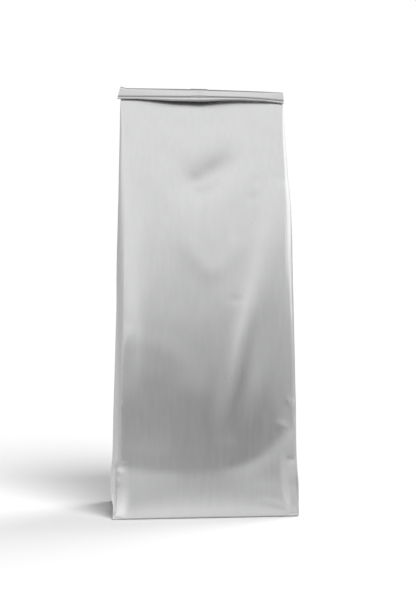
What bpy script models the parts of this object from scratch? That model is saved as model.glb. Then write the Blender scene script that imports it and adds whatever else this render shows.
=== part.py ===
"""Side-gusset coffee bag of silver foil laminate, filled and standing on its block bottom, mouth rolled down.

Metres, +Z up, front towards -Y, origin on the floor under the middle of the bag.
The shut bag is one solid: the filled body, lofted through level rings up to the flattened neck, and the
rolled mouth, a flattened bar across the neck's front. Laminate about 0.13 mm thick isn't modelled apart
from what it wraps.
"""

import math
from collections import namedtuple

import bmesh
import bpy

# Driving sizes of a 1 kg bag. The filled part tapers up to the neck, which runs on inside the roll.
NECK_HEIGHT = 0.2995
NECK_TOP = 0.3104
ROLL_TOP = 0.3132
LAMINATE_COLOUR = (0.80, 0.80, 0.81, 1.0)

# One row for each height where the shape of the filled bag changes.
# half_width and half_depth reach to the outside of the four long edges, which are rounded by edge_radius.
# bulge is how far the front and back panels stand out between those edges.
# gusset is how far the fold down the middle of each side is pushed in.
Station = namedtuple("Station", "height half_width half_depth bulge gusset edge_radius")
STATIONS = [
    Station(0.0000, 0.0671, 0.0391, 0.0000, 0.0000, 0.0030),
    Station(0.0010, 0.0679, 0.0399, 0.0001, 0.0000, 0.0030),
    Station(0.0050, 0.0681, 0.0401, 0.0006, 0.0000, 0.0030),
    Station(0.0220, 0.0681, 0.0402, 0.0018, 0.0000, 0.0030),
    Station(0.0390, 0.0665, 0.0400, 0.0030, 0.0006, 0.0034),
    Station(0.0850, 0.0657, 0.0390, 0.0048, 0.0045, 0.0042),
    Station(0.1400, 0.0649, 0.0352, 0.0056, 0.0120, 0.0060),
    Station(0.1950, 0.0640, 0.0278, 0.0058, 0.0230, 0.0070),
    Station(0.2450, 0.0628, 0.0178, 0.0048, 0.0320, 0.0055),
    Station(0.2800, 0.0613, 0.0082, 0.0028, 0.0300, 0.0030),
    Station(0.2930, 0.0607, 0.0032, 0.0010, 0.0120, 0.0016),
    Station(NECK_HEIGHT, 0.0605, 0.0014, 0.0002, 0.0000, 0.0006),
    Station(NECK_TOP, 0.0605, 0.0014, 0.0000, 0.0000, 0.0006),
]
RINGS_ABOVE_BASE = 38
BULGE_ROUNDNESS = 2.5
# The back panel, held in by its fin seal, stands out less than the front.
BACK_BULGE_SHARE = 0.87

# The rolled mouth lies against the front of the neck as a flattened bar, a little wider than the neck.
ROLL_HALF_WIDTH = 0.0617
ROLL_HEIGHT_AT_ENDS = 0.0084
ROLL_HEIGHT_IN_MIDDLE = 0.0097
ROLL_SWELL = 0.0006
ROLL_TILT = math.radians(1.0)
ROLL_SET_TO_LEFT = 0.0007
TILT_STARTS = 0.235
ROLL_COLUMNS = 20
# Its section, as (share of its height down from the top, depth): up the back, over the top fold,
# down the front to the crease and the lower edge, and back under to the neck.
ROLL_SECTION = [
    (0.90, 0.0009),
    (0.76, 0.00155),
    (0.45, 0.00175),
    (0.20, 0.00150),
    (0.06, 0.00075),
    (0.00, -0.0004),
    (0.05, -0.0018),
    (0.18, -0.0031),
    (0.40, -0.0042),
    (0.62, -0.0049),
    (0.70, -0.0047),
    (0.86, -0.0043),
    (0.96, -0.0037),
    (1.00, -0.0029),
    (0.93, -0.0020),
    (0.84, -0.0009),
]

# The fin seal down the middle of the back, pressed flat. It is rolled over with the mouth.
FIN_LEFT = -0.0088
FIN_RIGHT = 0.0036
FIN_HEIGHT = 0.0006
FIN_SHOULDER = 0.0004
FIN_BOTTOM = 0.0060

# The bottom seal is folded flat under the block bottom. A shallow groove runs along each of its edges,
# where the panel next to it curves away from the floor.
SEAL_FRONT = -0.0012
SEAL_BACK = 0.0088
GROOVE_DEPTH = 0.0007
GROOVE_WIDTH = 0.0030
CUTTER_OVERSHOOT = 0.001

FRONT_COLUMNS = 16
BACK_COLUMNS_EACH_SIDE = 6
EDGE_STEPS = 4
GUSSET_STEPS = 5


def smooth_step(low, high, value):
    """0 below low, 1 above high, and an even S between them."""
    t = min(max((value - low) / (high - low), 0.0), 1.0)
    return t * t * (3.0 - 2.0 * t)


def station_at(height):
    """The section sizes at a height, on a smooth curve through the stations."""
    top = len(STATIONS) - 1
    i = max(k for k in range(top) if STATIONS[k].height <= height)
    a, b = STATIONS[i], STATIONS[i + 1]
    span = b.height - a.height
    t = (height - a.height) / span

    def slope(k, field):
        low, high = STATIONS[max(k - 1, 0)], STATIONS[min(k + 1, top)]
        here = STATIONS[k]
        before = (here[field] - low[field]) / max(here.height - low.height, 1e-9)
        after = (high[field] - here[field]) / max(high.height - here.height, 1e-9)
        if before * after <= 0:
            return 0.0
        return 2 * before * after / (before + after)

    def value(field):
        return (
            a[field] * (1 + 2 * t) * (1 - t) ** 2
            + slope(i, field) * span * t * (1 - t) ** 2
            + b[field] * t * t * (3 - 2 * t)
            + slope(i + 1, field) * span * t * t * (t - 1)
        )

    return Station(height, *(value(field) for field in range(1, len(Station._fields))))


def edge_and_gusset(size):
    """Points from the front panel's right end round the edge to the fold of the right side, as (x, depth)."""
    radius = min(size.edge_radius, 0.45 * size.half_depth)
    centre_x = size.half_width - radius
    centre_y = -(size.half_depth - radius)
    # The side panel runs straight from the rounded edge to the fold, so it leaves the edge on a tangent.
    to_fold_x = radius - size.gusset
    to_fold_y = -centre_y
    reach = math.hypot(to_fold_x, to_fold_y)
    tangent = math.atan2(to_fold_y, to_fold_x) - math.acos(min(radius / reach, 1.0))
    points = []
    for k in range(EDGE_STEPS + 1):
        angle = -math.pi / 2 + (tangent + math.pi / 2) * k / EDGE_STEPS
        points.append((centre_x + radius * math.cos(angle), centre_y + radius * math.sin(angle)))
    start_x, start_y = points[-1]
    fold_x = size.half_width - size.gusset
    for k in range(1, GUSSET_STEPS + 1):
        share = k / GUSSET_STEPS
        points.append((start_x + (fold_x - start_x) * share, start_y * (1 - share)))
    return points


def back_columns(half_span):
    """Positions across the back panel, with a close pair at each edge of the fin seal."""
    left = [-half_span + (FIN_LEFT - FIN_SHOULDER + half_span) * k / BACK_COLUMNS_EACH_SIDE
            for k in range(1, BACK_COLUMNS_EACH_SIDE + 1)]
    right = [FIN_RIGHT + FIN_SHOULDER + (half_span - FIN_RIGHT - FIN_SHOULDER) * k / BACK_COLUMNS_EACH_SIDE
             for k in range(BACK_COLUMNS_EACH_SIDE)]
    middle = (FIN_LEFT + FIN_RIGHT) / 2
    return left + [FIN_LEFT, middle, FIN_RIGHT] + right


def panel_bulge(x, size, half_span):
    """How far a panel stands out at x: full over the middle, nothing at its two edges."""
    return size.bulge * (1.0 - min(abs(x) / half_span, 1.0) ** BULGE_ROUNDNESS)


def section(size, fin_height):
    """One closed ring of (x, depth), front panel first, then round by the right side."""
    side = edge_and_gusset(size)
    half_span = side[0][0]
    ring = []
    for k in range(1, FRONT_COLUMNS):
        x = -half_span + 2 * half_span * k / FRONT_COLUMNS
        ring.append((x, -size.half_depth - panel_bulge(x, size, half_span)))
    ring += side
    ring += [(x, -y) for x, y in reversed(side[:-1])]
    for x in reversed(back_columns(half_span)):
        raised = fin_height if FIN_LEFT <= x <= FIN_RIGHT else 0.0
        back_bulge = panel_bulge(x, size, half_span) * BACK_BULGE_SHARE
        ring.append((x, size.half_depth + back_bulge + raised))
    ring += [(-x, -y) for x, y in side]
    ring += [(-x, y) for x, y in reversed(side[:-1])]
    return ring


def body_rings():
    """Rings up the filled body and the neck, closer together near the base, where the skin turns under."""
    low, high = STATIONS[3].height, STATIONS[-1].height
    even = [low + (high - low) * k / RINGS_ABOVE_BASE for k in range(1, RINGS_ABOVE_BASE + 1)]
    heights = [station.height for station in STATIONS[:4]] + even
    rings = []
    for height in heights:
        fin = FIN_HEIGHT if height >= FIN_BOTTOM else 0.0
        rings.append([(x, y, height) for x, y in section(station_at(height), fin)])
    return rings


def roll_rings():
    """The section at each column along the roll, which stands out by the fin seal's height between the seal's edges."""
    even = [ROLL_HALF_WIDTH * (2 * k / ROLL_COLUMNS - 1) for k in range(ROLL_COLUMNS + 1)]
    step = 2 * ROLL_HALF_WIDTH / ROLL_COLUMNS
    fin_columns = [FIN_LEFT - FIN_SHOULDER, FIN_LEFT, FIN_RIGHT, FIN_RIGHT + FIN_SHOULDER]
    clear = [x for x in even if all(abs(x - column) > 0.3 * step for column in fin_columns)]
    rings = []
    for x in sorted(clear + fin_columns):
        middle = math.cos(math.pi / 2 * x / ROLL_HALF_WIDTH) ** 2
        height = ROLL_HEIGHT_AT_ENDS + (ROLL_HEIGHT_IN_MIDDLE - ROLL_HEIGHT_AT_ENDS) * middle
        raised = FIN_HEIGHT if FIN_LEFT <= x <= FIN_RIGHT else 0.0
        ring = []
        for share, depth in ROLL_SECTION:
            # Out from the middle line of the roll, but no further where the section runs inside the neck.
            away = 1.0 if depth > 0.0012 else -1.0 if depth < -0.0025 else 0.0
            y = depth + away * raised - ROLL_SWELL * middle * (away < 0)
            top = raised if share < 0.1 else 0.0
            ring.append((x - ROLL_SET_TO_LEFT, y, ROLL_TOP + top - share * height))
        rings.append(ring)
    return rings


def tilted(point):
    """The roll was turned down by hand, so it and the neck slope a little towards the right."""
    x, y, z = point
    return (x, y, z - x * math.tan(ROLL_TILT) * smooth_step(TILT_STARTS, NECK_HEIGHT, z))


def loft(name, rings):
    """A closed mesh through rings of equally many points, with a flat cap at each end."""
    mesh = bpy.data.meshes.new(name)
    work = bmesh.new()
    rows = [[work.verts.new(point) for point in ring] for ring in rings]
    for lower, upper in zip(rows, rows[1:]):
        for k in range(len(lower)):
            n = (k + 1) % len(lower)
            work.faces.new((lower[k], lower[n], upper[n], upper[k]))
    work.faces.new(reversed(rows[0]))
    work.faces.new(rows[-1])
    work.to_mesh(mesh)
    work.free()
    mesh.shade_smooth()
    mesh.set_sharp_from_angle(angle=math.radians(40))
    thing = bpy.data.objects.new(name, mesh)
    bpy.context.scene.collection.objects.link(thing)
    return thing


def foil_laminate():
    """Satin silver laminate: a thin metallised film, smooth outside."""
    material = bpy.data.materials.new("silver_laminate")
    material.use_nodes = True
    shader = material.node_tree.nodes["Principled BSDF"]
    shader.inputs["Base Color"].default_value = LAMINATE_COLOUR
    shader.inputs["Metallic"].default_value = 1.0
    shader.inputs["Roughness"].default_value = 0.34
    return material


def seal_grooves():
    """Two long wedges under the base, one along each edge of the folded bottom seal."""
    reach = 1.2 * STATIONS[0].half_width
    wedges = []
    for edge, away in ((SEAL_FRONT, -1.0), (SEAL_BACK, 1.0)):
        slope = GROOVE_DEPTH / GROOVE_WIDTH
        run_out = edge + away * (GROOVE_WIDTH + CUTTER_OVERSHOOT / slope)
        profile = [(edge, -CUTTER_OVERSHOOT), (edge, GROOVE_DEPTH), (run_out, -CUTTER_OVERSHOOT)]
        if away > 0:
            profile.reverse()
        rings = [[(x, y, z) for y, z in profile] for x in (-reach, reach)]
        wedges.append(loft("groove", rings))
    return wedges


def combine(thing, others, operation):
    """The Boolean of thing with each of the others, which are then removed."""
    for other in others:
        modifier = thing.modifiers.new("combine", "BOOLEAN")
        modifier.operation = operation
        modifier.solver = "EXACT"
        modifier.object = other
        bpy.context.view_layer.update()
        graph = bpy.context.evaluated_depsgraph_get()
        result = bpy.data.meshes.new_from_object(thing.evaluated_get(graph))
        thing.modifiers.clear()
        thing.data = result
        bpy.data.objects.remove(other)


def make_bag():
    """The whole bag: body with its neck, the rolled mouth joined on, and the grooves beside the bottom seal."""
    bag = loft("coffee_bag", [[tilted(point) for point in ring] for ring in body_rings()])
    roll = loft("roll", [[tilted(point) for point in ring] for ring in roll_rings()])
    combine(bag, [roll], "UNION")
    combine(bag, seal_grooves(), "DIFFERENCE")
    bag.data.shade_smooth()
    bag.data.set_sharp_from_angle(angle=math.radians(40))
    bag.data.materials.append(foil_laminate())


for leftover in list(bpy.data.objects):
    bpy.data.objects.remove(leftover)
make_bag()
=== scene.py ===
import math

import bpy
import numpy as np
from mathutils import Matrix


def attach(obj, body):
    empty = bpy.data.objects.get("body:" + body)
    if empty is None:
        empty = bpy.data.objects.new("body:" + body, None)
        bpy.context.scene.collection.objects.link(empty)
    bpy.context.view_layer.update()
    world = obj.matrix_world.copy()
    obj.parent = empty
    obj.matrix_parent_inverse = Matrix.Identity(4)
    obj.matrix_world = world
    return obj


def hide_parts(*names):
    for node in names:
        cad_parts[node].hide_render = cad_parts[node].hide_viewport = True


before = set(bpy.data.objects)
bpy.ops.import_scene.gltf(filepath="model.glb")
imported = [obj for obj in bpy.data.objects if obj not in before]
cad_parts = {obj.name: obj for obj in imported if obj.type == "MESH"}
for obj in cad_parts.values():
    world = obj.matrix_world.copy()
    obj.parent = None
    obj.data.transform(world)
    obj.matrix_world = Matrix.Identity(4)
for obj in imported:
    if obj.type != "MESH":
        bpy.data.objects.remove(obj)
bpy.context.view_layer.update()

MM = 0.001


# The filled bag. A tube of satin silver laminate, about 0.13 mm thick, is folded in along both sides into
# gussets. Filled with coffee it stands on a block bottom, the front and back panels belly out, and above
# the coffee they run together while the gussets fold in between them, up to the flat neck.
def smooth_between(low, high, value):
    """0 below low, 1 above high, and an even S between them."""
    t = np.clip((np.asarray(value, float) - low) / (high - low), 0.0, 1.0)
    return t * t * (3.0 - 2.0 * t)


def along_curve(table, at):
    """The columns of a table read at new values of its first column, on smooth curves with no overshoot."""
    table = np.asarray(table, float)
    at = np.clip(np.asarray(at, float), table[0, 0], table[-1, 0])
    knots = table[:, 0]
    spans = np.diff(knots)[:, None]
    steps = np.diff(table[:, 1:], axis=0) / spans
    slopes = np.zeros_like(table[:, 1:])
    before, after = steps[:-1], steps[1:]
    same_way = before * after > 0
    total = np.where(same_way, before + after, 1.0)
    slopes[1:-1] = np.where(same_way, 2 * before * after / total, 0.0)
    slopes[0], slopes[-1] = steps[0], steps[-1]
    i = np.clip(np.searchsorted(knots, at, side="right") - 1, 0, len(knots) - 2)
    span = spans[i]
    t = ((at - knots[i])[:, None]) / span
    return (
        table[i, 1:] * (1 + 2 * t) * (1 - t) ** 2
        + slopes[i] * span * t * (1 - t) ** 2
        + table[i + 1, 1:] * t * t * (3 - 2 * t)
        + slopes[i + 1] * span * t * t * (t - 1)
    )


# Height, half width, half depth to the long edges, how far the front and the back belly out past them,
# how far the gusset's fold is pushed in, how far its two halves belly out, and the edges' rounding, in mm.
FILLED_SHAPE = [
    (0.0, 66.4, 39.4, 0.0, 0.0, 0.0, 0.2, 0.9),
    (1.0, 66.5, 39.8, 0.2, 0.2, 0.0, 0.5, 1.0),
    (5.0, 66.5, 40.2, 0.9, 0.7, 0.0, 1.0, 1.2),
    (22.0, 66.5, 40.4, 2.4, 1.9, 0.0, 1.6, 1.8),
    (39.0, 65.7, 40.1, 3.4, 2.7, 0.6, 1.2, 2.8),
    (85.0, 65.1, 39.0, 4.9, 4.1, 4.5, 0.8, 4.0),
    (140.0, 64.6, 35.2, 5.7, 4.8, 12.0, 0.6, 4.8),
    (195.0, 64.0, 27.8, 5.7, 5.0, 23.0, 0.3, 5.0),
    (245.0, 62.7, 17.8, 4.6, 4.2, 32.0, 0.0, 4.0),
    (280.0, 61.4, 8.4, 3.2, 2.4, 31.0, 0.0, 2.9),
    (293.0, 61.0, 4.3, 1.7, 1.0, 18.0, 0.0, 1.7),
    (299.2, 60.8, 2.2, 1.15, 0.3, 8.0, 0.0, 0.9),
    (303.4, 60.7, 0.8, 0.0, 0.0, 5.0, 0.0, 0.32),
]
NECK_BASE = 303.4
BELLY_ROUNDNESS = 2.5
FOOT_TO_RIGHT = 0.35
BACK_NARROWER = 1.25
CORNER_TO_LEFT, EDGE_TO_LEFT = 2.3, 1.1
KINK_TO_LEFT, KINK_HEIGHT = 0.5, 38.0
SIDE_STEPS = 15
EDGE_STEPS = 6
PANEL_STEPS = 92
HALF_COUNT = PANEL_STEPS - 1 + 2 * (EDGE_STEPS + 1 + SIDE_STEPS)


def half_ring(sizes):
    """From the left gusset's fold round by one panel to the right fold, as x and distance from the folds."""
    half_width, half_depth, belly, gusset, side_belly, radius = sizes
    radius = min(radius, 0.45 * half_depth)
    to_fold = np.array([radius - gusset, half_depth - radius])
    reach = np.hypot(*to_fold)
    turn = np.arctan2(to_fold[1], to_fold[0]) - np.arccos(min(radius / reach, 1.0))
    angles = np.linspace(-math.pi / 2, turn, EDGE_STEPS + 1)
    edge_x = half_width - radius + radius * np.cos(angles)
    edge_d = half_depth - radius - radius * np.sin(angles)
    share = np.linspace(0, 1, SIDE_STEPS + 1)[1:]
    side_x = edge_x[-1] + (half_width - gusset - edge_x[-1]) * share
    side_x += side_belly * 4 * share * (1 - share)
    side_d = edge_d[-1] * (1 - share)
    even = np.linspace(-1, 1, PANEL_STEPS + 1)[1:-1]
    across = 0.55 * even + 0.45 * np.sin(even * math.pi / 2)
    panel_d = half_depth + belly * (1 - np.abs(across) ** BELLY_ROUNDNESS)
    right_x = np.concatenate([edge_x, side_x])
    right_d = np.concatenate([edge_d, side_d])
    x = np.concatenate([-right_x[::-1], across * edge_x[0], right_x])
    d = np.concatenate([right_d[::-1], panel_d, right_d])
    return x, d


def whole_ring(front_sizes, back_sizes):
    """One closed ring, as x and signed depth: the front half from left to right, then the back half home."""
    front_x, front_d = half_ring(front_sizes)
    back_x, back_d = half_ring(back_sizes)
    return (
        np.concatenate([front_x, back_x[-2:0:-1]]),
        np.concatenate([-front_d, back_d[-2:0:-1]]),
    )


def rings_at(heights):
    """Ring points at each height: arrays of x and signed depth, one row for each height."""
    made = []
    drawn_in = BACK_NARROWER * smooth_between(45.0, 150.0, heights)
    drawn_in = drawn_in * (1 - smooth_between(270.0, 300.0, heights))
    for sizes, less in zip(along_curve(FILLED_SHAPE, heights), drawn_in):
        width, depth, front, back, gusset, side, radius = sizes
        made.append(whole_ring(
            (width, depth, front, gusset, side, radius),
            (width - less, depth, back, gusset - less, side, radius),
        ))
    return np.array([x for x, _ in made]), np.array([d for _, d in made])


# The block bottom: the panels turn under at a creased edge, which stands a little off the table, and meet in
# the bottom seal, which lies folded flat in a shallow rise. As inset from the edge and height, in mm.
UNDER_WAY = [
    (38.6, 0.60), (34.0, 0.60), (30.0, 0.58), (26.0, 0.40), (20.0, 0.10), (13.0, 0.0), (7.0, 0.0),
    (3.6, 0.08), (1.9, 0.16), (0.9, 0.24), (0.45, 0.34), (0.15, 0.55),
]
FOLD_HEIGHT = 0.85
foot_x, foot_d = rings_at([0.0])
under_inset = np.array([[inset] for inset, _ in UNDER_WAY])
half_foot = np.abs(foot_d).max()
under_x = foot_x * (1 - np.minimum(under_inset, 0.9) / np.abs(foot_x).max())
under_y = foot_d * (1 - under_inset / half_foot)
under_z = np.array([[height] for _, height in UNDER_WAY]) + 0 * foot_x

body_heights = np.concatenate([
    np.array([FOLD_HEIGHT, 1.15, 1.6, 2.3, 3.2, 4.2, 5.3]),
    np.linspace(6.4, 45.0, 42),
    np.linspace(46.3, NECK_BASE, 186),
])
body_x, body_y = rings_at(body_heights)
body_z = np.repeat(body_heights[:, None], body_x.shape[1], axis=1)


# The rolled mouth: the flat neck is rolled forward and down about two turns. It was turned down by hand,
# so it stands off most a little left of the middle, lies tighter at both ends and slopes to the right.
# The way of the film is given as (depth, height below the top) in mm, from the neck up and round inside.
ROLL_TOP = 313.2
ROLL_WAY = [
    (0.1, -9.4), (0.3, -7.6), (0.48, -5.6), (0.55, -3.8), (0.4, -2.3), (-0.1, -1.15), (-0.95, -0.46),
    (-1.9, -0.6), (-2.62, -1.35), (-3.08, -2.5), (-3.44, -3.6), (-3.7, -4.4), (-3.8, -4.9), (-3.76, -5.3),
    (-3.66, -5.7), (-3.6, -6.1), (-3.66, -6.6), (-3.82, -7.1), (-3.94, -7.6), (-3.96, -8.1), (-3.8, -8.6),
    (-3.56, -8.98), (-3.3, -8.75), (-3.22, -7.8), (-3.2, -5.8), (-3.0, -4.0), (-2.62, -3.0), (-2.4, -2.95),
    (-2.36, -3.6), (-2.46, -5.2), (-2.52, -6.6), (-2.54, -7.4),
]
ROLL_ROWS = 84
ROLL_TALL, ROLL_CREASE = 9.5, 6.0
# Along the roll: how tall it is, and how far below its top the crease runs.
ROLL_ALONG = [
    (-62.0, 8.6, 7.2), (-50.0, 8.4, 7.1), (-30.0, 9.1, 6.9), (-20.0, 9.5, 6.8), (-3.0, 9.5, 6.4),
    (18.0, 7.9, 6.0), (30.0, 7.4, 5.9), (44.0, 7.4, 6.2), (52.0, 7.8, 6.6), (61.0, 8.8, 7.1),
]
STAND_OFF_CENTRE = -5.0
STAND_OFF_LEFT, STAND_OFF_RIGHT = 54.0, 50.0
# How much of its depth the roll keeps where it lies tight, and how much less it keeps at its right end.
TIGHT_AT_LEFT, TIGHT_AT_RIGHT, PRESSED_END = 0.62, 0.80, 0.24
# Half the thickness of the plies, and how deep their gussets are, in the neck and in the roll.
NECK_STACK, ROLL_STACK = 0.8, 0.38
NECK_GUSSET, ROLL_GUSSET = 5.0, 2.4
ROLL_BACK = 0.3
SET_TO_LEFT = 0.7
ROLL_TILT = math.tan(math.radians(1.0))
EAR_X, EAR_HALF_WIDTH, EAR_TALL = -59.6, 2.4, 1.0
MIDDLE_HIGHER = 0.4
NECK_HALF_WIDTH, ROLL_WIDER = 60.7, 0.9


def smooth_path(points, count):
    """Evenly spaced points on a smooth curve through the given ones, and how far along each lies, 0 to 1."""
    points = np.asarray(points, float)
    padded = np.vstack([2 * points[0] - points[1], points, 2 * points[-1] - points[-2]])
    t = np.linspace(0, 1, 12, endpoint=False)[:, None]
    fine = []
    for a, b, c, d in zip(padded, padded[1:], padded[2:], padded[3:]):
        bend, twist = 2 * a - 5 * b + 4 * c - d, 3 * b - a - 3 * c + d
        fine.append(0.5 * (2 * b + (c - a) * t + bend * t * t + twist * t ** 3))
    fine = np.vstack(fine + [points[-1:]])
    length = np.concatenate([[0], np.cumsum(np.hypot(*np.diff(fine, axis=0).T))])
    at = np.linspace(0, length[-1], count)
    path = np.stack([np.interp(at, length, fine[:, 0]), np.interp(at, length, fine[:, 1])], axis=1)
    return path, at / length[-1]


def stands_off(x):
    """How loose the roll is along its length: 1 where it stands off most, 0 where it lies tight."""
    reach = np.where(x < STAND_OFF_CENTRE, STAND_OFF_LEFT, STAND_OFF_RIGHT)
    return np.cos(np.clip((x - STAND_OFF_CENTRE) / reach, -1, 1) * math.pi / 2) ** 2


def roll_size(x):
    """How tall the roll is, and how deep below its top the crease runs, along its length."""
    sizes = along_curve(ROLL_ALONG, x.reshape(-1))
    return sizes[:, 0].reshape(x.shape), sizes[:, 1].reshape(x.shape)


way, way_share = smooth_path(ROLL_WAY, ROLL_ROWS)
way_step = np.gradient(way, axis=0)
way_turn = np.unwrap(np.arctan2(-way_step[:, 0], way_step[:, 1]))
roll_x, roll_y, roll_z = [], [], []
for (way_y, way_z), angle, share in zip(way, way_turn, way_share):
    grown = smooth_between(0.15, 0.5, share)
    stack = NECK_STACK + (ROLL_STACK - NECK_STACK) * smooth_between(0.0, 0.12, share)
    gusset = NECK_GUSSET + (ROLL_GUSSET - NECK_GUSSET) * grown
    sizes = (NECK_HALF_WIDTH + ROLL_WIDER * grown, stack, 0.0, gusset, 0.0, 0.45 * stack)
    x, d = whole_ring(sizes, sizes)
    loose = stands_off(x)
    tight = np.where(x < STAND_OFF_CENTRE, TIGHT_AT_LEFT, TIGHT_AT_RIGHT)
    squeeze = tight + (1 - tight) * loose
    squeeze = squeeze - PRESSED_END * smooth_between(44.0, 60.0, x)
    tall, crease = roll_size(x)
    neck_z = way_z + min(way_z + ROLL_CREASE, 0.0) * (tall - ROLL_TALL) / (ROLL_TALL - ROLL_CREASE)
    if way_z > -ROLL_CREASE:
        outer_z = way_z * crease / ROLL_CREASE
    else:
        outer_z = -crease + (way_z + ROLL_CREASE) * (tall - crease) / (ROLL_TALL - ROLL_CREASE)
    turned = smooth_between(0.12, 0.24, share)
    z = neck_z * (1 - turned) + outer_z * turned
    pressed = 1 + (squeeze - 1) * smooth_between(0.0, 0.12, share)
    y = ROLL_BACK + (way_y - ROLL_BACK) * squeeze + d * pressed * np.cos(angle)
    z = z + d * pressed * np.sin(angle) + MIDDLE_HIGHER * (1 - (x / 60.0) ** 2)
    # The lower left corner of the outer turn sticks out, and its upper one stands up in a little ear.
    outer = smooth_between(0.22, 0.3, share) * (1 - smooth_between(0.62, 0.7, share))
    at_left = smooth_between(52.0, 61.0, -x)
    x = x - outer * at_left * (-1.0 + 1.9 * np.clip(-z / 8.0, 0, 1))
    z = z + EAR_TALL * np.exp(-((x - EAR_X) / EAR_HALF_WIDTH) ** 2) * smooth_between(-3.4, -0.4, z)
    roll_x.append(x - SET_TO_LEFT * smooth_between(0.0, 0.2, share))
    roll_y.append(y)
    roll_z.append(ROLL_TOP + z)

body_z = body_z + (ROLL_TALL - roll_size(body_x)[0]) * smooth_between(262.0, NECK_BASE, body_z)
skin_x = np.vstack([under_x, body_x, roll_x])
skin_y = np.vstack([under_y, body_y, roll_y])
flat_z = np.vstack([under_z, body_z, roll_z])
ROWS_UNDER, ROWS_BODY = len(under_x), len(body_x)
skin_z = flat_z - skin_x * ROLL_TILT * smooth_between(235.0, NECK_BASE, flat_z)
skin_x = skin_x + FOOT_TO_RIGHT * (1 - smooth_between(25.0, 70.0, flat_z))
# The front left corner of the foot has been pulled out a little, and the long edge above it up to a kink.
at_corner = smooth_between(50.0, 64.0, -skin_x) * smooth_between(8.0, 38.0, -skin_y)
pulled = CORNER_TO_LEFT * (1 - smooth_between(1.0, 9.0, flat_z))
pulled = np.maximum(pulled, EDGE_TO_LEFT * (1 - smooth_between(36.0, 42.0, flat_z)))
pulled = pulled + KINK_TO_LEFT * np.exp(-((flat_z - KINK_HEIGHT) / 3.0) ** 2)
skin_x = skin_x - at_corner * pulled


# Folds, dents and slack in the film, as heights in mm along the surface's own outward direction. They come
# from filling, handling and standing about, and are soft where the coffee presses the film from inside.
CRISP_TOP = 0.35
FULLY_CRUMPLED = 0.12


def fold_line(across, up, points, height, width, crisp=False, even=False, right_wider=1.0, taper=1.0):
    """A ridge, or below zero a valley, along a smooth line of points. It fades out at both ends, unless it
    is even. It may be wider on the right of its run, and its size may taper to a share at its last point."""
    path, share = smooth_path(points, 44)
    lift = np.zeros(across.shape)
    low, high = path.min(axis=0) - 4 * width, path.max(axis=0) + 4 * width
    near = (across > low[0]) & (across < high[0]) & (up > low[1]) & (up < high[1])
    px, pz = across[near], up[near]
    nearest, where, wider = np.full(px.shape, 1e9), np.zeros(px.shape), np.ones(px.shape)
    for (ax, az), (bx, bz), from_share, to_share in zip(path, path[1:], share, share[1:]):
        span = (bx - ax) ** 2 + (bz - az) ** 2
        t = np.clip(((px - ax) * (bx - ax) + (pz - az) * (bz - az)) / span, 0, 1)
        gap = np.hypot(px - ax - t * (bx - ax), pz - az - t * (bz - az))
        closer = gap < nearest
        to_right = (bx - ax) * (pz - az) > (bz - az) * (px - ax)
        wider = np.where(closer, np.where(to_right, right_wider, 1.0), wider)
        nearest = np.where(closer, gap, nearest)
        where = np.where(closer, from_share + t * (to_share - from_share), where)
    fade = 1.0 if even else np.sin(math.pi * np.clip(where, 0.0, 1.0)) ** 0.7
    tapered = 1 + (taper - 1) * where
    nearest = nearest / (wider * tapered)
    if crisp:
        profile = np.exp(CRISP_TOP - np.hypot(nearest, CRISP_TOP * width) / width)
    else:
        profile = np.exp(-(nearest / width) ** 2)
    lift[near] = height * tapered * profile * fade
    return lift


def hollow(across, up, centre, size, depth, turned=0.0):
    """A soft oval hollow, or a swelling with a depth below zero."""
    c, s = math.cos(math.radians(turned)), math.sin(math.radians(turned))
    dx, dz = across - centre[0], up - centre[1]
    return -depth * np.exp(-((dx * c + dz * s) / size[0]) ** 2 - ((dz * c - dx * s) / size[1]) ** 2)


def slack(across, up, cell, seed):
    """Smooth uneven waves about 1 high, with the given cell size across and up."""
    rng = np.random.default_rng(seed)
    grid = rng.uniform(-1, 1, (160, 160))
    u = across / cell[0] + 61.3
    v = up / cell[1] + 47.7
    i, j = np.floor(u).astype(int), np.floor(v).astype(int)
    fu, fv = u - i, v - j
    fu, fv = fu ** 3 * (fu * (6 * fu - 15) + 10), fv ** 3 * (fv * (6 * fv - 15) + 10)
    i, j = i % 159, j % 159
    low = grid[i, j] * (1 - fu) + grid[i + 1, j] * fu
    high = grid[i, j + 1] * (1 - fu) + grid[i + 1, j + 1] * fu
    return low * (1 - fv) + high * fv


def small_creases(across, up, count, low, high, length, height, seed):
    """Short crisp creases scattered over a field, lying every way but mostly slanting."""
    rng = np.random.default_rng(seed)
    made = np.zeros(across.shape)
    for _ in range(count):
        x, z = rng.uniform(low[0], high[0]), rng.uniform(low[1], high[1])
        lean = math.radians(rng.uniform(20, 160))
        run = rng.uniform(*length) / 2
        bow = rng.uniform(-0.2, 0.2) * run
        step = np.array([math.cos(lean), math.sin(lean)]) * run
        side = np.array([-step[1], step[0]]) / run * bow
        line = [(x - step[0], z - step[1]), (x + side[0], z + side[1]), (x + step[0], z + step[1])]
        lift = rng.choice([-1, 1]) * rng.uniform(*height)
        made += fold_line(across, up, line, lift, rng.uniform(0.9, 2.0), crisp=True)
    return made


def relief(across, up, waves=(), folds=(), dents=(), creases=()):
    """All the forms of one panel added up: slack waves, folds, dents and scattered small creases."""
    made = np.zeros(across.shape)
    for height, cell, seed in waves:
        made += height * slack(across, up, cell, seed)
    for points, height, width, *manner in folds:
        made += fold_line(across, up, points, height, width, **dict(manner))
    for centre, size, depth, *turned in dents:
        made += hollow(across, up, centre, size, depth, *turned)
    for count, low, high, length, height, seed in creases:
        made += small_creases(across, up, count, low, high, length, height, seed)
    return made


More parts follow.
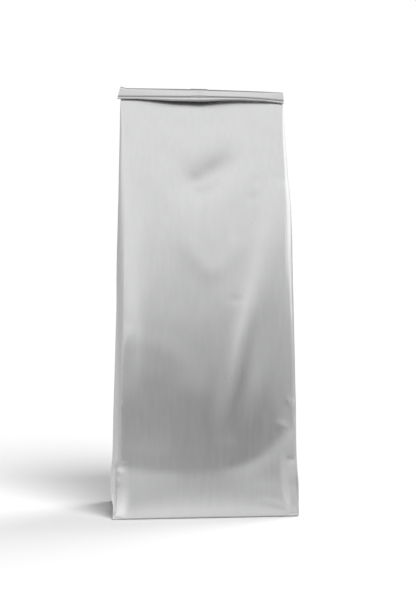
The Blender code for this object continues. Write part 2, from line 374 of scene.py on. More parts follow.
columns = np.arange(skin_x.shape[1])
side_reach = SIDE_STEPS + EDGE_STEPS // 2
is_front = ((columns >= side_reach) & (columns <= HALF_COUNT - 1 - side_reach)).astype(float)
is_back = ((columns >= HALF_COUNT - 1 + side_reach) & (columns <= len(columns) - side_reach)).astype(float)
on_body = smooth_between(0.4, 2.2, flat_z) * (1 - smooth_between(292.0, 301.0, flat_z))
on_body[:ROWS_UNDER] = 0.0

# The front, as the photo shows it: the flat upper film ends in a soft V where the coffee begins, a long fold
# runs down from the right, and short creases gather at the long edges and the foot's corners. Every line is
# given as (x, height) in mm. After it come the fold's height, its width, and how it differs from a plain one.
V_OF_UPPER_FILM = [
    (-44, 254), (-35, 238), (-24, 226), (-19, 209), (-14, 198), (-5, 186), (3, 180), (10, 184), (18, 192),
    (26, 204),
]
LONG_FOLD = [
    (57, 246), (54, 231), (50.5, 215), (46.5, 201), (43, 187), (39.5, 174), (36.5, 163), (33.5, 152.5),
    (31, 143), (27.5, 130), (24.5, 115), (21.5, 101), (17.5, 86), (13.5, 72), (10, 56),
]
V_IN_UPPER_FILM = [(-33, 273), (-22, 261), (-12, 247), (-4, 244), (8, 251), (23, 263)]
V_OF_LOWER_FILM = [(-60, 135), (-40, 128), (-26, 121), (-17, 112), (-12, 100), (-7, 86), (-3, 71), (2, 53)]
LEFT_EDGE_SWELL = [(-56, 141), (-61, 129), (-63, 113), (-62.9, 95), (-62.6, 75), (-62.6, 56), (-63, 40)]
BELLY_FOOT = [
    (-67, 38), (-54, 38), (-42, 35.5), (-24, 35), (-1, 36), (16, 38), (31, 43), (42, 50), (50, 57),
    (57, 64), (64, 68),
]
EVEN = ("even", True)
FRONT_WAVES = [(0.22, (34.0, 60.0), 3), (0.09, (13.0, 26.0), 5), (0.03, (5.0, 16.0), 6)]
FRONT_FOLDS = [
    (V_OF_UPPER_FILM, 0.50, 8.0),
    (LONG_FOLD, 3.95, 10.9, ("right_wider", 1.8), ("taper", 0.58)),
    ([(16, 161), (21, 158), (27, 158.5)], -0.22, 2.2),
    (V_OF_LOWER_FILM, 0.22, 9.0),
    (LEFT_EDGE_SWELL, 0.80, 5.5),
    (BELLY_FOOT, 0.55, 8.0, EVEN),
    (V_IN_UPPER_FILM, -0.80, 8.0),
    ([(34, 243), (38, 245), (43, 247)], -0.25, 2.4),
    ([(32, 230), (36, 233), (41, 235)], -0.25, 2.4),
]
LEFT_EDGE_CREASES = [
    ([(-66.5, 75), (-64, 80), (-62, 85)], 0.35, 1.5),
    ([(-69, 34), (-64.5, 37.5), (-58.5, 42)], 0.60, 2.6),
    ([(-71, 33), (-66.5, 29), (-64.5, 25)], -0.35, 1.6),
]
RIGHT_EDGE_CREASES = [
    ([(67, 0), (58, 6.5), (48, 10.5), (36, 13)], -0.28, 2.6),
    ([(67, 43), (62, 42), (58, 43.5)], 0.45, 1.7),
    ([(66, 57), (61, 62), (56, 66), (48, 70)], 0.38, 2.5),
    ([(67, 61), (63, 60.5), (60, 62)], -0.35, 1.6),
    ([(66, 79), (61, 83), (57, 87)], 0.45, 1.9),
]
# Each dent: its centre, its size, how deep it is, and how far it is turned, in degrees.
FRONT_DENTS = [
    ((6, 251), (22, 12), 2.7, 32.0),
    ((-7, 245), (5, 5), 0.4),
    ((36, 284), (9, 7), 0.8, -25.0),
    ((-67.0, 36.5), (2.8, 2.8), 1.3),
]
# The film turns away towards the long edges: on the left and right at the foot, and on the right above.
TURNS_IN_LEFT, TURNS_IN_RIGHT, TURNS_IN_ABOVE = 1.2, 1.35, 0.35
front_height = relief(
    skin_x, flat_z, FRONT_WAVES, FRONT_FOLDS + LEFT_EDGE_CREASES + RIGHT_EDGE_CREASES, FRONT_DENTS
)
at_foot = 1 - smooth_between(34.0, 48.0, flat_z)
front_height -= TURNS_IN_LEFT * smooth_between(56.0, 67.0, -skin_x) * at_foot
at_foot = 1 - smooth_between(26.0, 48.0, flat_z)
front_height -= TURNS_IN_RIGHT * smooth_between(0.0, 6.0, skin_x - 56.8 + 0.12 * flat_z) * at_foot
front_height -= TURNS_IN_ABOVE * smooth_between(58.0, 65.0, skin_x) * smooth_between(142.0, 156.0, flat_z)

# The back, held in along its seam, has folds of its own.
BACK_WAVES = [(0.28, (30.0, 50.0), 11), (0.10, (12.0, 26.0), 12), (0.03, (5.0, 14.0), 13)]
BACK_FOLDS = [
    ([(-50, 240), (-42, 200), (-33, 160), (-27, 120), (-20, 80)], 1.0, 6.5),
    ([(50, 250), (38, 214), (24, 188), (12, 178)], 0.6, 8.0),
    ([(30, 150), (22, 116), (16, 84)], 0.7, 7.0),
    ([(-62, 44), (-30, 33), (0, 31), (30, 34), (62, 46)], 0.5, 9.0, EVEN),
    ([(67, 2), (59, 8), (46, 13)], 0.55, 1.8),
    ([(-66, 2), (-58, 8), (-44, 15)], 0.55, 1.9),
    ([(-62, 9), (-62.5, 20), (-60, 31)], 0.55, 2.2),
]
BACK_DENTS = [((20, 256), (18, 11), 0.9, -30.0), ((-26, 272), (14, 9), 0.5, 20.0)]
# Small creases: how many, the corners of their field, their lengths, their heights, and the seed.
BACK_CREASES = [
    (9, (50, 35), (65, 120), (6, 12), (0.2, 0.4), 31),
    (9, (-65, 35), (-50, 120), (6, 12), (0.2, 0.4), 32),
]
back_height = relief(skin_x, flat_z, BACK_WAVES, BACK_FOLDS, BACK_DENTS, BACK_CREASES)

# The gussets: each half panel is slack, the fold between them is creased, and at the foot two creases
# run from the corners up to the fold and make the block bottom's triangle. Left and right lie 400 mm apart
# in side_across, so that each has forms of its own.
side_across = skin_y + np.where(skin_x > 0, 200.0, -200.0)
SIDE_WAVES = [(0.30, (16.0, 34.0), 21), (0.14, (7.0, 15.0), 22)]
SIDE_DENTS = [((-200, 16), (30, 13), -0.7)]
SIDE_CREASES = [
    (16, (168, 30), (232, 230), (8, 20), (0.25, 0.5), 41),
    (16, (-232, 30), (-168, 230), (8, 20), (0.25, 0.5), 42),
    (7, (170, 4), (230, 34), (6, 12), (0.15, 0.35), 43),
    (7, (-230, 4), (-170, 34), (6, 12), (0.15, 0.35), 44),
]
TRIANGLE = [([(edge, 1), (edge * 20 / 39, 21), (0, 41)], 0.8, 1.3, EVEN) for edge in (-39, 39)]
TRIANGLE_DENT = [((0, 17), (16, 11), 0.9)]
side_height = relief(side_across, flat_z, SIDE_WAVES, dents=SIDE_DENTS, creases=SIDE_CREASES)
side_height += relief(skin_y, flat_z, folds=TRIANGLE, dents=TRIANGLE_DENT)
is_side = 1.0 - is_front - is_back
lift = on_body * (is_front * front_height + is_back * back_height + is_side * side_height)


def outward(grid):
    """The surface's outward direction at each point of a grid of rings."""
    around = np.roll(grid, -1, axis=1) - np.roll(grid, 1, axis=1)
    up = np.gradient(grid, axis=0)
    normal = np.cross(around, up)
    return normal / np.maximum(np.linalg.norm(normal, axis=-1, keepdims=True), 1e-9)


def softened(field, passes):
    """The field evened out a little along and around the rings."""
    for _ in range(passes):
        field = 0.5 * field + 0.25 * (np.roll(field, 1, axis=1) + np.roll(field, -1, axis=1))
        padded = np.vstack([field[:1], field, field[-1:]])
        field = 0.5 * field + 0.25 * (padded[:-2] + padded[2:])
    return field


skin = np.stack([skin_x, skin_y, skin_z], axis=-1)
skin = skin + outward(skin) * softened(lift, 2)[..., None]
skin[..., 2] = np.maximum(skin[..., 2], 0.0)
crumple = softened(np.clip(np.abs(lift - softened(lift, 10)) / FULLY_CRUMPLED, 0, 1), 4)


def skin_object(name, grid, worn):
    """A closed skin through rings that mirror front to back, each end drawn together by a strip of faces."""
    rows, count = grid.shape[:2]
    index = np.arange(rows * count).reshape(rows, count)
    after = np.roll(index, -1, axis=1)
    faces = np.stack([index[:-1], after[:-1], after[1:], index[1:]], axis=-1).reshape(-1, 4).tolist()
    half = count // 2
    for row, down in ((index[0], True), (index[-1], False)):
        for k in range(half):
            corners = [row[k], row[k + 1], row[(count - k - 1) % count], row[(count - k) % count]]
            corners = [v for n, v in enumerate(corners) if v not in corners[:n]]
            faces.append(corners[::-1] if down else corners)
    mesh = bpy.data.meshes.new(name)
    mesh.from_pydata((grid.reshape(-1, 3) * MM).tolist(), [], faces)
    mesh.attributes.new("crumple", "FLOAT", "POINT").data.foreach_set("value", worn.reshape(-1))
    mesh.validate()
    mesh.update()
    mesh.shade_smooth()
    thing = bpy.data.objects.new(name, mesh)
    bpy.context.scene.collection.objects.link(thing)
    return thing


foil_skin = skin_object("foil_skin", skin, crumple)


def calculated(tree, operation, *given):
    """One calculation on numbers or sockets, as a node of the tree."""
    made = tree.nodes.new("ShaderNodeMath")
    made.operation = operation
    for socket, value in zip(made.inputs, given):
        if isinstance(value, (int, float)):
            socket.default_value = value
        else:
            tree.links.new(value, socket)
    return made.outputs["Value"]


SILVER_DULL, SILVER_BRIGHT = (0.795, 0.797, 0.803, 1.0), (0.865, 0.866, 0.870, 1.0)
STREAK_SIZE, HAIRLINE_SIZE, CLOUD_SIZE = (330.0, 330.0, 55.0), (420.0, 420.0, 60.0), (38.0, 38.0, 38.0)
SATIN, WITH_STREAKS, WITH_CLOUDS, WHERE_CREASED = 0.165, 0.05, 0.05, 0.08


def laminate(name):
    """Satin metallised laminate: silver with faint streaks along the film, duller where it is creased."""
    material = bpy.data.materials.new(name)
    material.use_nodes = True
    tree = material.node_tree
    nodes, links = tree.nodes, tree.links
    shader = nodes["Principled BSDF"]
    shader.inputs["Metallic"].default_value = 1.0
    place = nodes.new("ShaderNodeTexCoord")

    def noise(size, detail):
        stretch = nodes.new("ShaderNodeMapping")
        stretch.inputs["Scale"].default_value = size
        links.new(place.outputs["Object"], stretch.inputs["Vector"])
        made = nodes.new("ShaderNodeTexNoise")
        made.inputs["Scale"].default_value = 1.0
        made.inputs["Detail"].default_value = detail
        links.new(stretch.outputs["Vector"], made.inputs["Vector"])
        return made.outputs["Fac"]

    streak = noise(STREAK_SIZE, 4.0)
    hairline = noise(HAIRLINE_SIZE, 2.0)
    cloud = noise(CLOUD_SIZE, 4.0)
    worn = nodes.new("ShaderNodeAttribute")
    worn.attribute_name = "crumple"
    tone = nodes.new("ShaderNodeMix")
    tone.data_type = "RGBA"
    tone.inputs["A"].default_value = SILVER_DULL
    tone.inputs["B"].default_value = SILVER_BRIGHT
    links.new(streak, tone.inputs["Factor"])
    links.new(tone.outputs["Result"], shader.inputs["Base Color"])
    rough = calculated(tree, "MULTIPLY_ADD", streak, WITH_STREAKS, SATIN)
    rough = calculated(tree, "MULTIPLY_ADD", cloud, WITH_CLOUDS, rough)
    rough = calculated(tree, "MULTIPLY_ADD", worn.outputs["Fac"], WHERE_CREASED, rough)
    links.new(rough, shader.inputs["Roughness"])
    grain = nodes.new("ShaderNodeBump")
    grain.inputs["Strength"].default_value = 0.06
    grain.inputs["Distance"].default_value = 0.0003
    links.new(hairline, grain.inputs["Height"])
    links.new(grain.outputs["Normal"], shader.inputs["Normal"])
    return material


satin_laminate = laminate("satin_laminate")
foil_skin.data.materials.append(satin_laminate)
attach(foil_skin, "root")
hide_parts("coffee_bag")


# The back seam. The tube's two edges are sealed inside to inside into a fin, which is folded flat against the
# back. It runs from the foot up the back, is rolled in with the mouth and ends on the front of the roll.
FIN_LEFT, FIN_RIGHT = -8.8, 3.6
FIN_ACROSS = 9
FIN_SUNK = 0.05
FIN_BOTTOM = 6.0
FIN_PLIES = 0.42
FIN_PITCH, FIN_RIB = 1.2, 0.05
RIB_SAMPLES = 5


def seal_ribs():
    """The crimping of a seal: ribs raised across its run, and the strip given its plies' thickness."""
    tree = bpy.data.node_groups.new("crimped_seal", "GeometryNodeTree")
    face = tree.interface
    face.new_socket("Geometry", in_out="INPUT", socket_type="NodeSocketGeometry")
    for label in ("Plies", "Rib pitch", "Rib height"):
        face.new_socket(label, in_out="INPUT", socket_type="NodeSocketFloat")
    face.new_socket("Finish", in_out="INPUT", socket_type="NodeSocketMaterial")
    face.new_socket("Geometry", in_out="OUTPUT", socket_type="NodeSocketGeometry")
    nodes, links = tree.nodes, tree.links
    given, result = nodes.new("NodeGroupInput"), nodes.new("NodeGroupOutput")

    def number(label):
        made = nodes.new("GeometryNodeInputNamedAttribute")
        made.data_type = "FLOAT"
        made.inputs["Name"].default_value = label
        return made.outputs["Attribute"]

    turns = calculated(tree, "DIVIDE", number("run"), given.outputs["Rib pitch"])
    wave = calculated(tree, "SINE", calculated(tree, "MULTIPLY", turns, 2 * math.pi))
    wave = calculated(tree, "MULTIPLY", wave, given.outputs["Rib height"])
    wave = calculated(tree, "MULTIPLY", wave, number("pressed"))
    push = nodes.new("ShaderNodeVectorMath")
    push.operation = "SCALE"
    links.new(nodes.new("GeometryNodeInputNormal").outputs["Normal"], push.inputs[0])
    links.new(wave, push.inputs["Scale"])
    ribbed = nodes.new("GeometryNodeSetPosition")
    links.new(given.outputs["Geometry"], ribbed.inputs["Geometry"])
    links.new(push.outputs["Vector"], ribbed.inputs["Offset"])
    raised = nodes.new("GeometryNodeExtrudeMesh")
    raised.mode = "FACES"
    raised.inputs["Individual"].default_value = False
    links.new(ribbed.outputs["Geometry"], raised.inputs["Mesh"])
    links.new(given.outputs["Plies"], raised.inputs["Offset Scale"])
    under = nodes.new("GeometryNodeFlipFaces")
    links.new(ribbed.outputs["Geometry"], under.inputs["Mesh"])
    both = nodes.new("GeometryNodeJoinGeometry")
    links.new(raised.outputs["Mesh"], both.inputs["Geometry"])
    links.new(under.outputs["Mesh"], both.inputs["Geometry"])
    closed = nodes.new("GeometryNodeMergeByDistance")
    closed.inputs["Distance"].default_value = 1e-6
    links.new(both.outputs["Geometry"], closed.inputs["Geometry"])
    real = nodes.new("GeometryNodeRealizeInstances")
    links.new(closed.outputs["Geometry"], real.inputs["Geometry"])
    coat = nodes.new("GeometryNodeSetMaterial")
    links.new(real.outputs["Geometry"], coat.inputs["Geometry"])
    links.new(given.outputs["Finish"], coat.inputs["Material"])
    links.new(coat.outputs["Geometry"], result.inputs["Geometry"])
    return tree


def crimped(name, grid, run, pressed, plies, pitch, rib):
    """A seal made from the grid of its inner face, given in mm, by the crimping nodes."""
    rows, count = grid.shape[:2]
    index = np.arange(rows * count).reshape(rows, count)
    quads = np.stack([index[:-1, :-1], index[:-1, 1:], index[1:, 1:], index[1:, :-1]], axis=-1).reshape(-1, 4)
    mesh = bpy.data.meshes.new(name)
    mesh.from_pydata((grid.reshape(-1, 3) * MM).tolist(), [], quads.tolist())
    mesh.attributes.new("run", "FLOAT", "POINT").data.foreach_set("value", (run * MM).reshape(-1))
    mesh.attributes.new("pressed", "FLOAT", "POINT").data.foreach_set("value", pressed.reshape(-1))
    thing = bpy.data.objects.new(name, mesh)
    bpy.context.scene.collection.objects.link(thing)
    crimp = thing.modifiers.new("crimp", "NODES")
    crimp.node_group = CRIMPING
    sockets = {item.name: item.identifier for item in CRIMPING.interface.items_tree if item.in_out == "INPUT"}
    crimp[sockets["Plies"]] = plies * MM
    crimp[sockets["Rib pitch"]] = pitch * MM
    crimp[sockets["Rib height"]] = rib * MM
    crimp[sockets["Finish"]] = satin_laminate
    made = bpy.data.meshes.new_from_object(thing.evaluated_get(bpy.context.evaluated_depsgraph_get()))
    thing.modifiers.remove(crimp)
    thing.data = made
    made.shade_smooth()
    made.set_sharp_from_angle(angle=math.radians(50))
    return thing


def pressed_across(count):
    """How deep the crimping jaws press across a seal of that many points: fully, but not at its edges."""
    return np.minimum(1.0, np.minimum(np.arange(count), np.arange(count)[::-1]) / 1.5)


CRIMPING = seal_ribs()
body_up = [k for k in range(ROWS_UNDER, ROWS_UNDER + ROWS_BODY) if flat_z[k, 0] >= FIN_BOTTOM]
lowest_turn = ROWS_UNDER + ROWS_BODY + int(np.argmin(np.where(way_share > 0.3, way[:, 1], 0.0)))
fin_rows = body_up + list(range(ROWS_UNDER + ROWS_BODY, lowest_turn))
back_columns = np.arange(HALF_COUNT - 1 + SIDE_STEPS, len(columns) - SIDE_STEPS)[::-1]
fin_x = np.linspace(FIN_LEFT, FIN_RIGHT, FIN_ACROSS)
sunk = skin - FIN_SUNK * outward(skin)
fin_grid = []
for row in fin_rows:
    line = sunk[row, back_columns]
    fin_grid.append(np.stack([np.interp(fin_x, line[:, 0], line[:, k]) for k in range(3)], axis=1))
fin_grid = np.array(fin_grid)
fin_step = np.linalg.norm(np.diff(fin_grid[:, FIN_ACROSS // 2], axis=0), axis=1)
fin_length = np.concatenate([[0], np.cumsum(fin_step)])
fin_run = np.arange(0, fin_length[-1], FIN_PITCH / RIB_SAMPLES)
fin_fine = np.array([
    [np.interp(fin_run, fin_length, fin_grid[:, k, axis]) for axis in range(3)] for k in range(FIN_ACROSS)
]).transpose(2, 0, 1)
fin_pressed = pressed_across(FIN_ACROSS) + 0 * fin_run[:, None]
fin_run = fin_run[:, None] + 0 * fin_x
back_fin = crimped("back_fin", fin_fine[:, ::-1], fin_run, fin_pressed, FIN_PLIES, FIN_PITCH, FIN_RIB)
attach(back_fin, "root")
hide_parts("coffee_bag")


# The bottom seal. Front panel, gussets and back panel are sealed together in one straight crimped strip
# across the foot, which is folded flat towards the back under the bag.
SEAL_FRONT, SEAL_BACK = -1.2, 8.8
SEAL_HALF_LENGTH = 66.0
SEAL_PLIES = 0.42
SEAL_HEIGHT = 0.56
SEAL_ACROSS = 8
SEAL_PITCH, SEAL_RIB = 1.6, 0.06
seal_x = np.arange(-SEAL_HALF_LENGTH, SEAL_HALF_LENGTH, SEAL_PITCH / RIB_SAMPLES)
seal_y = np.linspace(SEAL_FRONT, SEAL_BACK, SEAL_ACROSS)
seal_places = np.meshgrid(seal_x + FOOT_TO_RIGHT, seal_y, [SEAL_HEIGHT], indexing="ij")
seal_grid = np.concatenate(seal_places, axis=-1)
seal_pressed = pressed_across(SEAL_ACROSS) + 0 * seal_x[:, None]
seal_run = seal_x[:, None] + 0 * seal_y
bottom_seal = crimped(
    "bottom_seal", seal_grid[:, ::-1], seal_run, seal_pressed, SEAL_PLIES, SEAL_PITCH, SEAL_RIB
)
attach(bottom_seal, "root")
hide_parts("coffee_bag")


# The white sweep that the bag stands on: one wide sheet of matt paper. In the foil it shows a painted
# reflection: painted light close to the bag, and painted shade in front, where the camera stands in the dark.
SWEEP = 6.0
sweep_corners = [(-SWEEP, -SWEEP, 0), (SWEEP, -SWEEP, 0), (SWEEP, SWEEP, 0), (-SWEEP, SWEEP, 0)]
sweep_mesh = bpy.data.meshes.new("white_sweep")
sweep_mesh.from_pydata(sweep_corners, [], [(0, 1, 2, 3)])
sweep = bpy.data.objects.new("white_sweep", sweep_mesh)
bpy.context.scene.collection.objects.link(sweep)
PAPER_WHITE = (0.92, 0.92, 0.92, 1.0)
FOOT_HALF = (0.067, 0.040, 0.0)
# Painted reflection levels that only the foil sees: painted shade in front, painted light to the sides and
# behind.
FRONT_PAINTED_SHADE, SIDE_PAINTED_LIGHT, BACK_PAINTED_LIGHT = 0.325, 0.52, 0.58
# The painted glow round the foot, a pool of painted light that only the foil sees: how bright, and over what
# distance it fades. It is stronger on the left, and in two painted spots of light beside the front corners.
PAINTED_GLOW = [(0.30, 0.100), (0.28, 0.034)]
PAINTED_GLOW_TO_LEFT = 1.7
LEFT_PAINTED_LIGHT, RIGHT_PAINTED_LIGHT = 1.6, 1.4
# Painted shade ahead of the foot, towards the camera, and painted light on the right.
PAINTED_SHADE_AHEAD, PAINTED_LIGHT_RIGHT = 0.08, 0.10


def step_up(tree, given, low, high):
    """0 below low, 1 above high, and an even S between them, as a node of the tree."""
    made = tree.nodes.new("ShaderNodeMapRange")
    made.interpolation_type = "SMOOTHSTEP"
    made.inputs["From Min"].default_value = low
    made.inputs["From Max"].default_value = high
    tree.links.new(given, made.inputs["Value"])
    return made.outputs["Result"]


def bearing_from(tree, x, y):
    """Degrees round from the front, to the right above zero and to the left below it."""
    turned = calculated(tree, "ARCTAN2", x, calculated(tree, "MULTIPLY", y, -1.0))
    return calculated(tree, "MULTIPLY", turned, 180 / math.pi)


def paper_with_painted_glow():
    """White paper. To rays off the foil it glows with painted light close by and painted shade towards the
    camera.
    """
    paper = bpy.data.materials.new("white_paper_painted_glow")
    paper.use_nodes = True
    tree = paper.node_tree
    nodes, links = tree.nodes, tree.links
    shader = nodes["Principled BSDF"]
    shader.inputs["Base Color"].default_value = PAPER_WHITE
    shader.inputs["Roughness"].default_value = 0.95
    shader.inputs["Specular IOR Level"].default_value = 0.0
    place = nodes.new("ShaderNodeTexCoord").outputs["Object"]

    def vector(operation, given, *others):
        made = nodes.new("ShaderNodeVectorMath")
        made.operation = operation
        links.new(given, made.inputs[0])
        for socket, other in zip(made.inputs[1:], others):
            socket.default_value = other
        return made.outputs["Value" if operation == "LENGTH" else "Vector"]

    def value(operation, *given):
        return calculated(tree, operation, *given)

    def rising(given, low, high):
        return step_up(tree, given, low, high)

    def falling(given, low, high):
        return step_up(tree, value("MULTIPLY", given, -1.0), -high, -low)

    def inside(left, right, softness):
        past_left = rising(bearing, left - softness, left + softness)
        return value("SUBTRACT", past_left, rising(bearing, right - softness, right + softness))

    outside = vector("SUBTRACT", vector("ABSOLUTE", place), FOOT_HALF)
    from_foot = vector("LENGTH", vector("MAXIMUM", outside, (0.0, 0.0, 0.0)))
    split = nodes.new("ShaderNodeSeparateXYZ")
    links.new(place, split.inputs["Vector"])
    x, y = split.outputs["X"], split.outputs["Y"]
    bearing = bearing_from(tree, x, y)

    # Where the paper's painted light lies beside the painted shade of the camera's dark.
    # Distances are in metres, bearings in degrees.
    close_by = value("MULTIPLY", rising(from_foot, 0.05, 0.12), falling(from_foot, 0.25, 0.50))
    at_left = value("MULTIPLY", falling(bearing, -14.0, -4.0), close_by)
    at_right = value("SUBTRACT", bearing, value("MULTIPLY", rising(from_foot, 0.13, 0.22), 11.0))
    at_right = value("MULTIPLY", rising(at_right, 9.0, 19.0), close_by)
    far_off = value("SUBTRACT", 1.0, inside(-26.0, 28.0, 6.0))
    far_off = value("MULTIPLY", far_off, rising(from_foot, 0.12, 0.30))
    aside = value("MAXIMUM", value("MAXIMUM", at_left, at_right), far_off)
    painted_reflection = value("MULTIPLY_ADD", aside, SIDE_PAINTED_LIGHT - FRONT_PAINTED_SHADE, FRONT_PAINTED_SHADE)
    painted_reflection = value("MULTIPLY_ADD", rising(y, 0.0, 0.08), BACK_PAINTED_LIGHT - SIDE_PAINTED_LIGHT, painted_reflection)

    # Painted light: the glow round the foot, stronger on the left and in two spots beside the front corners.
    in_front = value("MULTIPLY", falling(y, -0.055, -0.025), falling(from_foot, 0.07, 0.14))
    left_painted_light = value("MULTIPLY", falling(x, -0.085, -0.055), LEFT_PAINTED_LIGHT)
    right_painted_light = value("SUBTRACT", rising(x, 0.075, 0.100), rising(x, 0.110, 0.145))
    painted_light_patches = value("MULTIPLY_ADD", right_painted_light, RIGHT_PAINTED_LIGHT, left_painted_light)
    painted_glow_share = value("MULTIPLY_ADD", x, -PAINTED_GLOW_TO_LEFT, 1.0)
    painted_glow_share = value("MULTIPLY_ADD", in_front, painted_light_patches, painted_glow_share)
    for bright, fades_over in PAINTED_GLOW:
        faded = value("EXPONENT", value("MULTIPLY", from_foot, -1.0 / fades_over))
        painted_reflection = value("MULTIPLY_ADD", value("MULTIPLY", faded, bright), painted_glow_share, painted_reflection)

    # Painted shade ahead, towards the camera, and painted light on the right side.
    ahead = value("MULTIPLY", inside(9.0, 24.0, 5.0), rising(from_foot, 0.08, 0.40))
    painted_reflection = value("MULTIPLY_ADD", ahead, -PAINTED_SHADE_AHEAD, painted_reflection)
    right_side = value("MULTIPLY", rising(x, 0.14, 0.22), falling(from_foot, 0.28, 0.46))
    painted_reflection = value("MULTIPLY_ADD", right_side, PAINTED_LIGHT_RIGHT, painted_reflection)
    # Painted shade: close to the foot the paper's glow is darkened for the bag's own shade,
    # and under its edge it is painted almost dark.
    painted_foot_shade = value("MULTIPLY_ADD", rising(from_foot, -0.006, 0.020), 0.22, 0.78)
    painted_edge_shade = value("MULTIPLY_ADD", rising(from_foot, 0.0, 0.002), 0.5, 0.5)
    painted_reflection = value("MULTIPLY", painted_reflection, value("MULTIPLY", painted_foot_shade, painted_edge_shade))

    # The painted glow: rays off the foil see this emission as a painted reflection; the camera and the lamps
    # see plain paper.
    painted_glow_shader = nodes.new("ShaderNodeEmission")
    links.new(painted_reflection, painted_glow_shader.inputs["Color"])
    rays = nodes.new("ShaderNodeLightPath")
    seen = nodes.new("ShaderNodeMixShader")
    links.new(rays.outputs["Is Glossy Ray"], seen.inputs["Fac"])
    links.new(shader.outputs["BSDF"], seen.inputs[1])
    links.new(painted_glow_shader.outputs["Emission"], seen.inputs[2])
    links.new(seen.outputs["Shader"], nodes["Material Output"].inputs["Surface"])
    return paper


sweep_mesh.materials.append(paper_with_painted_glow())


# The light: a broad soft light from the front right, a weaker one from behind on the right and a faint one
# overhead throw the shadow back and to the left. In the foil the room shows brighter from the horizon up to
# a dark ceiling, with soft panels of light on the left and a large one on the right.
world = bpy.data.worlds.new("studio")
world.use_nodes = True
bpy.context.scene.world = world
room_tree = world.node_tree
# Sine of the elevation, and how bright the room is there.
ROOM = [
    (-0.1, 0.40), (0.0, 0.43), (0.05, 0.49), (0.10, 0.52), (0.16, 0.56), (0.22, 0.60), (0.28, 0.70),
    (0.33, 0.745), (0.42, 0.765), (0.50, 0.80), (0.60, 0.835), (0.82, 0.85), (0.88, 0.70), (0.93, 0.45),
    (1.0, 0.26),
]
# Panels, lit or dark: how bright, between which bearings in degrees, between which sines of elevation, over
# how many degrees their sides fade, and over how much sine their upper end does.
PANELS = [
    (0.52, (-150.0, -33.0), (-0.4, 0.30), 4.0, 0.15),
    (0.88, (-28.0, -18.0), (0.06, 0.75), 1.6, 0.15),
    (0.87, (-75.0, -20.0), (0.40, 1.10), 4.0, 0.15),
    (1.20, (60.0, 150.0), (0.09, 0.75), 8.0, 0.15),
    (0.40, (-40.0, -6.0), (-0.16, 0.05), 3.0, 0.03),
    (0.365, (9.0, 34.0), (-0.16, 0.06), 2.5, 0.03),
]
# High up behind the bag the room is dark, on both sides alike.
DARK_BEHIND = (0.28, (115.0, 200.0), (0.66, 1.5), 12.0, 0.15)
look = room_tree.nodes.new("ShaderNodeTexCoord")
direction = room_tree.nodes.new("ShaderNodeSeparateXYZ")
room_tree.links.new(look.outputs["Generated"], direction.inputs["Vector"])
sine = direction.outputs["Z"]
bearing = bearing_from(room_tree, direction.outputs["X"], direction.outputs["Y"])
ramp = room_tree.nodes.new("ShaderNodeValToRGB")
ramp.color_ramp.interpolation = "LINEAR"
room_tree.links.new(calculated(room_tree, "MULTIPLY_ADD", sine, 0.5, 0.5), ramp.inputs["Fac"])
stops = ramp.color_ramp.elements
while len(stops) > 1:
    stops.remove(stops[-1])
for k, (at_sine, bright) in enumerate(ROOM):
    stop = stops[0] if k == 0 else stops.new((at_sine + 1) / 2)
    stop.position = (at_sine + 1) / 2
    stop.color = (bright, bright, bright, 1.0)


def with_panel(brightness, turned, panel, bearings, sines, softness, fades):
    """The room's brightness with one soft panel in it, brighter or darker than the room."""
    left, right = [(at - softness, at + softness) for at in bearings]
    bottom, top = (sines[0] - 0.04, sines[0] + 0.04), (sines[1] - fades, sines[1] + fades)
    across = calculated(
        room_tree, "SUBTRACT", step_up(room_tree, turned, *left), step_up(room_tree, turned, *right)
    )
    up = calculated(room_tree, "SUBTRACT", step_up(room_tree, sine, *bottom), step_up(room_tree, sine, *top))
    share = calculated(room_tree, "MULTIPLY", across, up)
    rest = calculated(room_tree, "MULTIPLY", brightness, calculated(room_tree, "SUBTRACT", 1.0, share))
    return calculated(room_tree, "MULTIPLY_ADD", share, panel, rest)


brightness = ramp.outputs["Color"]
for panel in PANELS:
    brightness = with_panel(brightness, bearing, *panel)
brightness = with_panel(brightness, calculated(room_tree, "ABSOLUTE", bearing), *DARK_BEHIND)
room = room_tree.nodes["Background"]
room_tree.links.new(brightness, room.inputs["Color"])
rays = room_tree.nodes.new("ShaderNodeLightPath")


def background(level):
    """An even background."""
    made = room_tree.nodes.new("ShaderNodeBackground")
    made.inputs["Color"].default_value = (level, level, level, 1.0)
    return made.outputs["Background"]


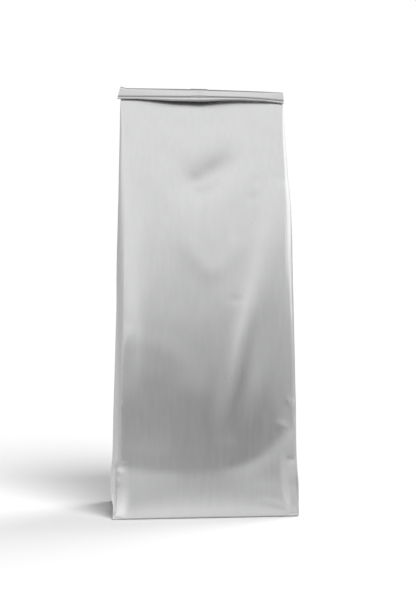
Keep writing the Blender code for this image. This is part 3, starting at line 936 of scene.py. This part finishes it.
def either(ray, otherwise, when):
    """One background for one kind of ray, another for the rest."""
    made = room_tree.nodes.new("ShaderNodeMixShader")
    room_tree.links.new(rays.outputs[ray], made.inputs["Fac"])
    room_tree.links.new(otherwise, made.inputs[1])
    room_tree.links.new(when, made.inputs[2])
    return made.outputs["Shader"]


FILL_LIGHT, WHITE = 0.04, 1.0
lit = either("Is Glossy Ray", background(FILL_LIGHT), room.outputs["Background"])
lit = either("Is Camera Ray", lit, background(WHITE))
room_tree.links.new(lit, room_tree.nodes["World Output"].inputs["Surface"])


def soft_light(name, bearing, elevation, size, strength):
    """A broad soft light far off, given by its bearing from the front and its elevation in degrees."""
    light = bpy.data.lights.new(name, "SUN")
    light.energy = strength
    light.angle = math.radians(size)
    lamp = bpy.data.objects.new(name, light)
    bpy.context.scene.collection.objects.link(lamp)
    lamp.rotation_euler = (math.radians(90 - elevation), 0.0, math.radians(bearing))
    lamp.visible_glossy = False
    return lamp


soft_light("front_right", bearing=22.0, elevation=47.0, size=32.0, strength=2.74)
soft_light("overhead", bearing=150.0, elevation=82.0, size=24.0, strength=0.50)
soft_light("behind_right", bearing=122.0, elevation=50.0, size=30.0, strength=1.08)


# The camera stands 1.1 m in front, a little to the left, level with the upper part of the bag. Its focal
# length and the photo's height are given in the photo's pixels.
YAW, PITCH = math.radians(5.8), math.radians(2.17)
CAMERA_AWAY, CAMERA_HEIGHT, CAMERA_ASIDE = 1.1, 0.2012, 0.0043
FOCAL_PIXELS, PHOTO_HEIGHT = 1472.0, 593.0
lens = bpy.data.cameras.new("camera")
lens.sensor_width = 36.0
lens.lens = FOCAL_PIXELS * lens.sensor_width / PHOTO_HEIGHT
camera = bpy.data.objects.new("camera", lens)
bpy.context.scene.collection.objects.link(camera)
camera.location = (
    -CAMERA_AWAY * math.sin(YAW) + CAMERA_ASIDE * math.cos(YAW),
    -CAMERA_AWAY * math.cos(YAW) - CAMERA_ASIDE * math.sin(YAW),
    CAMERA_HEIGHT,
)
camera.rotation_euler = (math.pi / 2 - PITCH, 0.0, -YAW)
bpy.context.scene.camera = camera
bpy.context.scene.view_settings.view_transform = "Standard"
